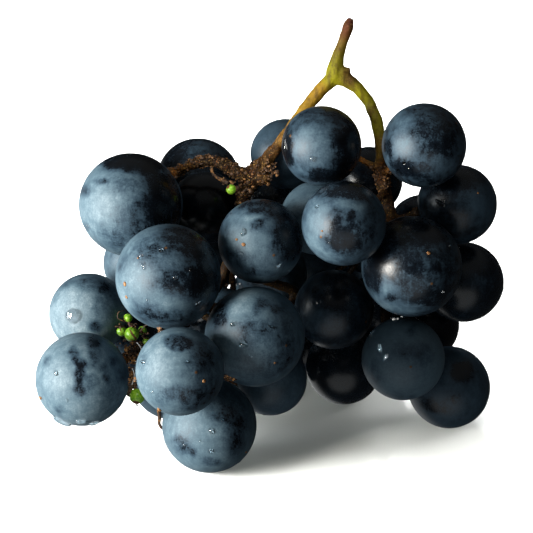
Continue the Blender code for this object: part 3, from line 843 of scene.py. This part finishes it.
def wood_looks(points):
    """Tint and corkiness of the wood at each point, from the named places nearest to it in the view."""
    x, y = pixels_of(points)
    across = (x - PICTURE_MIDDLE) * PIXEL / MM
    up = (PICTURE_MIDDLE - y) * PIXEL / MM
    places = np.array([(a, u) for a, u, _, _ in WOOD_TINTS])
    tints = np.array([(*WOOD_COLOURS[name], cork) for _, _, name, cork in WOOD_TINTS] + [WOOD_ELSEWHERE_PAINTED_SHADE])
    far = np.hypot(across[:, None] - places[:, 0], up[:, None] - places[:, 1])
    weights = np.exp(-((far / TINT_REACH) ** 2))
    weights = np.c_[weights, np.full(len(points), ELSEWHERE_WEIGHT)]
    weights /= weights.sum(axis=1)[:, None]
    looks = weights @ tints
    return looks[:, :3], looks[:, 3]


def add_stem(bark):
    """The stalk in place of its CAD node. Returns it, its points, their normals and how corky each is."""
    mesh = remeshed("stem_source", frame["nodes"]["stem"].data, STEM_VOXEL, 3)
    count = len(mesh.vertices)
    points = np.empty(count * 3)
    mesh.vertices.foreach_get("co", points)
    points = points.reshape(-1, 3)
    normals = np.array([v.normal for v in mesh.vertices])
    tints, cork = wood_looks(points)
    lumps = np.empty(count)
    for k, point in enumerate(points):
        place = Vector(point)
        low = noise.fractal(place * 420, 1.0, 2.1, 3)
        middle = noise.noise(place * 950)
        high = noise.noise(place * 1900)
        lumps[k] = BARK_LUMPS * low + cork[k] * CORK_LUMPS * (0.6 * low + 0.5 * middle + 0.4 * high)
    mesh.vertices.foreach_set("co", (points + normals * lumps[:, None]).ravel())
    mesh.update()
    piece = add_piece("stalk", mesh, bark, "stalk_wood", "stem")
    layer = mesh.attributes.new("tint", "FLOAT_COLOR", "POINT")
    layer.data.foreach_set("color", np.c_[tints, np.ones(count)].astype(np.float32).ravel())
    add_attribute(mesh, "cork", cork)
    return piece, points + normals * lumps[:, None], normals, cork


def crumb(shape, place, size, rule):
    """A small crumpled lump."""
    made = bmesh.ops.create_icosphere(shape, subdivisions=2, radius=1.0)
    shift = Vector((rule.uniform(0, 50), rule.uniform(0, 50), rule.uniform(0, 50)))
    flat = Vector((rule.uniform(0.6, 1.3), rule.uniform(0.6, 1.2), rule.uniform(0.5, 1.0)))
    for vertex in made["verts"]:
        way = vertex.co.copy()
        reach = size * (1 + 0.55 * noise.noise(way * 1.6 + shift) + 0.3 * noise.noise(way * 4 + shift))
        vertex.co = place + Vector((way.x * flat.x, way.y * flat.y, way.z * flat.z)) * reach


def add_bark_crumbs(points, normals, cork, material):
    """Crumbs of dry bark on the corky wood that shows."""
    rule = random.Random(SEED + 1)
    _, y = pixels_of(points)
    corky = np.flatnonzero(cork > CRUMB_CORK)
    chosen = [k for k in corky if y[k] < CRUMB_LOWEST_ROW and rule.random() < CRUMB_SHARE]
    shape = bmesh.new()
    for k in chosen:
        size = rule.uniform(*CRUMB_SIZES) * MM
        crumb(shape, Vector(points[k]) + Vector(normals[k]) * size * 0.3, size, rule)
    return add_piece("bark_crumbs", shape, material, "stalk_wood")


# Sprigs of shot berries, as in the CAD: twigs as across, up, back and radius, and berries as across, up,
# back, diameter and the way of the dry cap, across and up
SPRIGS = [
    (
        "sprig_left",
        [
            [
                (-32.2, -19.0, -6.6, 0.5), (-32.6, -16.8, -6.4, 0.45),
                (-33.4, -14.6, -6.2, 0.4), (-33.9, -12.6, -6.0, 0.35),
            ],
            [(-32.6, -16.8, -6.4, 0.4), (-33.9, -16.2, -6.8, 0.35), (-35.5, -15.9, -7.0, 0.35)],
            [(-32.6, -17.2, -6.4, 0.4), (-31.4, -16.4, -6.6, 0.35), (-30.4, -15.7, -6.8, 0.35)],
            [(-32.3, -18.6, -6.6, 0.4), (-30.9, -18.6, -7.0, 0.35), (-29.4, -18.3, -7.2, 0.35)],
            [(-32.4, -17.6, -6.5, 0.45), (-32.8, -17.0, -8.0, 0.45), (-33.0, -16.6, -8.6, 0.45)],
        ],
        [
            (-33.9, -12.6, -6.0, 2.2, -0.8, 0.7),
            (-33.0, -16.6, -8.6, 3.6, 0.0, 1.0),
            (-35.5, -15.9, -7.0, 2.4, -0.6, 0.9),
            (-30.4, -15.7, -6.8, 2.2, -0.5, 0.9),
            (-29.4, -18.3, -7.2, 2.0, 0.3, 1.0),
        ],
    ),
    (
        "sprig_low",
        [[(-31.6, -24.2, -6.2, 0.5), (-32.4, -28.0, -6.8, 0.4), (-31.7, -31.8, -7.4, 0.5)]],
        [(-31.7, -31.8, -7.4, 3.9, -0.15, -1.0)],
    ),
    (
        "sprig_top",
        [[(-8.2, 20.8, -1.0, 0.42), (-8.7, 18.9, -2.0, 0.45)]],
        [(-8.7, 18.9, -2.0, 2.5, -0.7, 0.6)],
    ),
]
SHOT_SIDES, SHOT_RINGS = 36, 24
TWIG_BEVEL = 3
ROUTE_STEPS = 5


def tube_mesh(name, points, radii):
    """A tube through points in metres, with round sides and closed ends, as a mesh."""
    curve = bpy.data.curves.new(name, "CURVE")
    curve.dimensions = "3D"
    curve.bevel_depth = 1.0
    curve.bevel_resolution = TWIG_BEVEL
    curve.use_fill_caps = True
    spline = curve.splines.new("POLY")
    spline.points.add(len(points) - 1)
    for point, place, radius in zip(spline.points, points, radii):
        point.co = (*place, 1)
        point.radius = radius
    made = bpy.data.objects.new(name, curve)
    bpy.context.scene.collection.objects.link(made)
    bpy.context.view_layer.update()
    mesh = bpy.data.meshes.new_from_object(made.evaluated_get(bpy.context.evaluated_depsgraph_get()))
    bpy.data.objects.remove(made)
    return mesh


def smooth_route(places, radii):
    """A given route, rounded into a smooth one with more points."""
    ends = [places[0]] + list(places) + [places[-1]]
    points, widths = [], []
    for k in range(len(places) - 1):
        a, b, c, d = ends[k : k + 4]
        for step in range(ROUTE_STEPS):
            t = step / ROUTE_STEPS
            bent = (2 * a - 5 * b + 4 * c - d) * t * t + (3 * b - a - 3 * c + d) * t**3
            points.append(0.5 * (2 * b + (c - a) * t + bent))
            widths.append(radii[k] + (radii[k + 1] - radii[k]) * t)
    return points + [places[-1]], widths + [radii[-1]]


def add_twigs(name, routes, material, slot):
    """Thin tubes along routes of across, up, back and radius in millimetres, as one piece."""
    shape = bmesh.new()
    for route in routes:
        places = [from_view(a, u, b) for a, u, b, _ in route]
        points, widths = smooth_route(places, [r * MM for *_, r in route])
        shape.from_mesh(tube_mesh("route", points, widths))
    bmesh.ops.remove_doubles(shape, verts=shape.verts, dist=1e-7)
    for vertex in shape.verts:
        vertex.co += vertex.co.normalized() * noise.noise(vertex.co * 2500) * 0.08 * MM
    return add_piece(name, shape, material, slot)


def add_shot_berries(skin, bark):
    """The sprigs' little berries and their twigs. Returns the pieces."""
    pieces = []
    for name, twigs, little_berries in SPRIGS:
        shape = bmesh.new()
        caps = []
        for across, up, back, diameter, cap_across, cap_up in little_berries:
            made = bmesh.ops.create_uvsphere(shape, u_segments=SHOT_SIDES, v_segments=SHOT_RINGS, radius=1.0)
            centre = from_view(across, up, back)
            cap_way = (ACROSS * cap_across + UPWARD * cap_up + TO_EYE * 0.55).normalized()
            radius = diameter / 2 * MM
            for vertex in made["verts"]:
                way = vertex.co.normalized()
                near_cap = max(0.0, (way.dot(cap_way) - 0.82) / 0.18)
                lump = noise.noise(way * 2 + centre * 900)
                rag = 0.10 * near_cap * noise.noise(way * 9 + centre * 700)
                vertex.co = centre + way * radius * (0.97 + 0.05 * lump - 0.10 * near_cap**2 + rag)
                ragged = 0.3 * noise.noise(way * 7 + centre * 500) * (near_cap > 0)
                caps.append(min(1.0, near_cap * 1.6 + ragged))
        piece = add_piece(f"shot_{name}", shape, skin, "shot_berry", name)
        add_attribute(piece.data, "scar", caps)
        pieces += [piece, add_twigs(f"twigs_{name}", twigs, bark, "shot_berry")]
    return pieces


# Dry stuff caught in the bunch: threads as routes of across, up, back and radius, then heaps of crumbs as
# across, up, back, spread, count and size. One thread is a dark twig laid in a gap as painted shade
THREADS_AND_SHADE = [
    [
        (-32.0, -19.5, -8.5, 0.22), (-31.0, -21.5, -9.6, 0.2),
        (-31.2, -23.6, -9.8, 0.16), (-32.0, -25.4, -9.4, 0.1),
    ],
    [
        (-30.2, -20.0, -9.0, 0.2), (-31.6, -22.0, -10.4, 0.18),
        (-30.4, -24.2, -10.8, 0.15), (-29.6, -26.4, -10.4, 0.1),
    ],
    [(-33.4, -20.4, -8.0, 0.18), (-34.6, -22.6, -8.6, 0.15), (-34.2, -24.6, -9.0, 0.1)],
    [(-29.0, -18.6, -9.4, 0.2), (-27.4, -19.8, -11.2, 0.16), (-27.8, -21.4, -12.4, 0.1)],
    [
        (-34.8, -13.4, -7.0, 0.2), (-36.4, -12.6, -7.8, 0.16),
        (-36.2, -11.2, -8.0, 0.12), (-35.0, -10.8, -7.6, 0.08),
    ],
    [(-31.4, -16.6, -8.4, 0.2), (-29.8, -14.6, -9.6, 0.16), (-28.6, -14.0, -10.4, 0.1)],
    [(-13.6, 26.0, 0.0, 0.4), (-13.2, 22.9, -0.6, 0.35), (-11.4, 21.4, -0.9, 0.45), (-9.4, 20.4, -1.2, 0.55)],
    [
        (-33.0, -26.4, -7.0, 0.45), (-33.3, -28.2, -7.0, 0.55),
        (-33.4, -30.0, -7.2, 0.6), (-33.6, -32.0, -7.4, 0.45),
    ],
    # painted shade: a dark twig laid in a gap where only shade shows
    [(-11.2, -26.6, 3.0, 0.6), (-9.2, -27.9, 3.0, 0.8), (-7.0, -29.3, 3.0, 0.6)],
    [
        (-26.6, -33.8, -10.6, 0.45), (-26.2, -36.4, -12.0, 0.5),
        (-26.3, -38.4, -12.4, 0.4), (-25.6, -39.8, -12.6, 0.25),
    ],
]
PALE_THREADS = [
    [
        (-31.8, -18.6, -10.6, 0.12), (-30.6, -20.2, -11.6, 0.12),
        (-31.0, -22.4, -11.8, 0.1), (-32.2, -23.4, -11.4, 0.08),
    ],
    [(-33.0, -29.0, -9.4, 0.12), (-32.4, -26.6, -9.8, 0.1), (-32.9, -25.0, -10.0, 0.08)],
]
HEAPS = [
    (-32.8, -19.4, -9.0, 1.7, 34, 0.5),
    (-32.6, -22.6, -9.0, 1.8, 40, 0.55),
    (-33.2, -26.0, -8.0, 1.0, 22, 0.5),
    (-33.6, -29.2, -7.4, 0.9, 22, 0.5),
    (-35.7, -14.7, -7.4, 0.8, 12, 0.42),
    (-32.6, -14.7, -8.6, 0.7, 11, 0.38),
    (-30.4, -16.6, -8.2, 1.0, 12, 0.35),
    (-31.8, -34.0, -7.6, 0.35, 5, 0.3),
    (-5.0, 19.0, -1.0, 1.6, 16, 0.5),
    (-8.6, 20.6, -1.4, 0.8, 8, 0.4),
    (-10.0, 20.9, -1.2, 0.9, 14, 0.42),
    (1.0, 23.6, -0.4, 1.5, 34, 0.5),
    (-33.8, -20.4, -9.4, 2.0, 36, 0.5),
    (29.6, 20.6, -3.6, 1.2, 12, 0.4),
    (-33.6, -31.0, -7.2, 0.7, 16, 0.42),
    (-26.0, -15.3, -14.0, 0.7, 14, 0.42),
]
# Crumbs in the corners between berries, where the picture has no light, put there as painted shade to close
# the
# gaps: a place on a berry's edge in pixels, and the crumb's size in millimetres
CORNER_SHADE_CRUMBS = [
    (136, 379, 0.8), (136, 384, 0.9), (137, 389, 0.8), (139, 394, 0.7),
    (128.5, 380, 0.6), (128.5, 384, 0.6), (129, 388, 0.5),
    (227, 376, 0.7), (231, 378, 0.8), (234, 379, 0.6),
    (160, 328, 0.6), (163, 329, 0.5),
    (232, 282, 0.9), (229, 288, 0.9), (226, 285, 0.7),
]
# Pale flakes caught between berries, in the same terms; the three above berry 4 stand for glints, as painted
# highlights
PALE_FLAKES_AND_GLINTS = [
    (223, 283, 0.35), (227, 284.5, 0.5), (231, 286, 0.45), (236, 285, 0.4), (240, 284, 0.3),
    (390, 318, 0.3), (394, 319.5, 0.4), (398, 319, 0.4), (402, 317, 0.25),
    # painted highlights: the first three flakes stand for glints
    (249, 194, 0.3), (254, 191, 0.4), (260, 193, 0.3), (317, 303, 0.25), (308, 386, 0.3),
]


def add_corner_crumbs(shape, table, balls, rule):
    """A crumb into the shape for each line of the table, on the berry that shows there."""
    for x, y, size in table:
        hit = struck(balls, x, y)
        if hit:
            crumb(shape, hit[0], size * MM, rule)


def add_debris(bark, pale, balls):
    """Dry threads, crumbs and flakes caught in the bunch; the corner crumbs and one thread are painted shade
    in dark gaps, and three flakes are painted glints. Returns the pieces.
    """
    pieces = [
        add_twigs("dry_threads_and_shade", THREADS_AND_SHADE, bark, "stalk_wood"),
        add_twigs("pale_threads", PALE_THREADS, pale, "stalk_wood"),
    ]
    rule = random.Random(SEED + 2)
    shape = bmesh.new()
    for across, up, back, spread, count, size in HEAPS:
        for _ in range(count):
            off_across = rule.gauss(0, spread / 2)
            off_up = rule.gauss(0, spread / 2)
            off_back = rule.gauss(0, spread / 3)
            place = from_view(across + off_across, up + off_up, back + off_back)
            crumb(shape, place, rule.uniform(0.35, 1.0) * size * MM, rule)
    add_corner_crumbs(shape, CORNER_SHADE_CRUMBS, balls, rule)
    pieces.append(add_piece("dry_crumbs_and_shade", shape, bark, "stalk_wood"))
    shape = bmesh.new()
    add_corner_crumbs(shape, PALE_FLAKES_AND_GLINTS, balls, rule)
    pieces.append(add_piece("pale_flakes_and_glints", shape, pale, "stalk_wood"))
    return pieces


# Surroundings. A lamp is a name, the way to it, how far it is and its width and height in metres, its watts
# and its colour. The way is in the view's axes, but in the table's for the back lights and the table's lamps
WARM = (1.0, 0.97, 0.90)
COOL = (0.95, 1.0, 1.0)
FAINTLY_COOL = (0.97, 1.0, 1.0)
WHITE = (1.0, 1.0, 1.0)
WINDOW = ("window", (-0.81, -0.07, 0.58), 0.48, 0.15, 0.24, 5.3, WARM)
WINDOW_SIDE = ("window_side", (-0.97, 0.02, 0.24), 0.50, 0.20, 0.30, 2.2, COOL)
STALK_FILL = ("stalk_fill", (0.05, 0.5, 0.86), 0.45, 0.12, 0.12, 1.1, WARM)
BACK_LIGHTS = [
    ("back_light", (-0.35, 0.92, 0.15), 0.55, 0.3, 0.3, 1.5, FAINTLY_COOL),
    ("back_light", (0.35, 0.92, 0.15), 0.55, 0.3, 0.3, 1.5, FAINTLY_COOL),
]
# Berries that a black card keeps the window's light off
CARDED_BERRIES = (19, 20)

# The table's own lamps: name, turn and rise of the way to it, distance and watts
FLOOR_GLOW = 0.075
FLOOR_HALF_SIZE = 3.0
FLOOR_LAMP_SIZE = 0.24
FLOOR_LAMP_TURN = math.radians(23)
FLOOR_LAMP_RISE = math.radians(18)
FLOOR_LAMPS = [
    ("table_left", -FLOOR_LAMP_TURN, FLOOR_LAMP_RISE, 0.6, 13.0),
    ("table_right", math.pi - FLOOR_LAMP_TURN, FLOOR_LAMP_RISE, 0.6, 2.2),
    ("table_back", math.radians(90), math.radians(35), 0.95, 25.0),
    ("table_above", 0.0, math.radians(88), 0.6, 0.26),
]

# The room that the skins mirror, and patches of bright table in it: the way to the middle, brightness, and
# where the edge starts and ends as a cosine
CEILING_BRIGHTNESS = 0.12
CEILING_EDGE = (0.35, 0.80)
ROOM_BRIGHTNESS = 0.022
TABLE_PATCHES = [
    ((-0.18, -0.92, -0.36), 0.72, 0.70, 0.88),
    ((-0.50, 0.66, -0.56), 0.70, 0.80, 0.96),
]
HORIZON_SOFTNESS = 0.05


def add_area_light(name, toward, distance, width, height, watts, tint, in_view=True):
    """toward is in the view's axes, or in the table's where in_view is False."""
    light = bpy.data.lights.new(name, "AREA")
    light.shape = "RECTANGLE"
    light.size = width
    light.size_y = height
    light.energy = watts
    light.color = tint
    way = Vector(toward)
    if in_view:
        way = ACROSS * toward[0] + UPWARD * toward[1] + TO_EYE * toward[2]
    way = way.normalized()
    lamp = bpy.data.objects.new(name, light)
    lamp.location = VIEW_TARGET + way * distance
    lamp.rotation_mode = "QUATERNION"
    lamp.rotation_quaternion = (-way).to_track_quat("-Z", "Y")
    bpy.context.scene.collection.objects.link(lamp)
    return lamp


def light_only(lamp, pieces):
    """The lamp lights these pieces and nothing else, as one with a snoot would."""
    lit = bpy.data.collections.new(lamp.name + "_lit")
    for piece in pieces:
        lit.objects.link(piece)
    lamp.light_linking.receiver_collection = lit


def keep_off(lamp, pieces):
    """The lamp leaves these pieces unlit, as a black card in front of it would."""
    carded = bpy.data.collections.new(lamp.name + "_carded")
    for piece in pieces:
        carded.objects.link(piece)
    for entry in carded.collection_objects:
        entry.light_linking.link_state = "EXCLUDE"
    lamp.light_linking.receiver_collection = carded


def add_floor():
    """A white table, with lamps of its own that light nothing else, so that it is white up to the bunch's
    feet. It neither lights the bunch nor shows in its skins: the world does that in its place."""
    n = new_material("white_table")
    n.shader.inputs["Base Color"].default_value = colour(0.88, 0.89, 0.87)
    n.shader.inputs["Roughness"].default_value = 0.16
    n.shader.inputs["Emission Color"].default_value = colour(0.93, 1.0, 0.90)
    n.shader.inputs["Emission Strength"].default_value = FLOOR_GLOW
    shape = bmesh.new()
    bmesh.ops.create_grid(shape, x_segments=2, y_segments=2, size=FLOOR_HALF_SIZE)
    mesh = bpy.data.meshes.new("table_top")
    shape.to_mesh(mesh)
    shape.free()
    mesh.materials.append(n.owner)
    floor = bpy.data.objects.new("table_top", mesh)
    floor.visible_glossy = False
    floor.visible_diffuse = False
    floor.visible_shadow = False
    bpy.context.scene.collection.objects.link(floor)
    for name, turn, rise, distance, watts in FLOOR_LAMPS:
        way = Vector((-math.cos(turn), math.sin(turn), math.tan(rise))).normalized()
        lamp = add_area_light(
            name, way, distance, FLOOR_LAMP_SIZE, FLOOR_LAMP_SIZE, watts, WHITE, in_view=False
        )
        light_only(lamp, [floor])


def light_world():
    """What shows in the skins: a dim room with a brighter ceiling, and below the horizon the bright table in
    front and at the back left. The camera itself sees it as white."""
    world = bpy.data.worlds.new("studio")
    bpy.context.scene.world = world
    n = Nodes(world)
    way = n.add("ShaderNodeTexCoord").outputs["Generated"]
    split = n.add("ShaderNodeSeparateXYZ")
    n.link(way, split.inputs[0])
    overhead = n.spread(split.outputs["Z"], *CEILING_EDGE, 0.0, CEILING_BRIGHTNESS)
    below = n.spread(split.outputs["Z"], -HORIZON_SOFTNESS, 0.0, 1.0, 0.0)
    total = n.math("ADD", overhead, ROOM_BRIGHTNESS)
    for middle, brightness, edge_start, edge_end in TABLE_PATCHES:
        toward = n.add("ShaderNodeVectorMath", operation="DOT_PRODUCT")
        n.link(way, toward.inputs[0])
        toward.inputs[1].default_value = Vector(middle).normalized()
        patch = n.spread(toward.outputs["Value"], edge_start, edge_end, 0.0, brightness)
        total = n.math("ADD", total, n.math("MULTIPLY", patch, below))
    background = n.tree.nodes["Background"]
    seen = n.math("MAXIMUM", total, n.add("ShaderNodeLightPath").outputs["Is Camera Ray"])
    n.link(seen, background.inputs["Strength"])
    background.inputs["Color"].default_value = colour(0.97, 1.0, 1.0)


def main():
    add_camera()
    scene = bpy.context.scene
    scene.view_settings.view_transform = "Standard"
    scene.view_settings.look = "None"
    balls = add_berries(berry_skin())
    stem, points, normals, cork = add_stem(stalk_wood())
    bark = twig_bark()
    crumbs = add_bark_crumbs(points, normals, cork, bark)
    sprigs = add_shot_berries(shot_skin(), bark)
    debris = add_debris(bark, pale_fibre(), balls)
    add_domes("water_drops", DROPS, balls, water(), "berry_skin")
    add_domes("cork_specks", SPECKS, balls, corky_speck(), "berry_skin", sides=12, rings=8)
    add_floor()
    light_world()
    windows = [add_area_light(*WINDOW), add_area_light(*WINDOW_SIDE)]
    for lamp in windows:
        keep_off(lamp, [bpy.data.objects[f"fine_berry_{number:02d}"] for number in CARDED_BERRIES])
    light_only(add_area_light(*STALK_FILL), [stem, crumbs] + sprigs + debris)
    for back_light in BACK_LIGHTS:
        add_area_light(*back_light, in_view=False).visible_glossy = False


main()
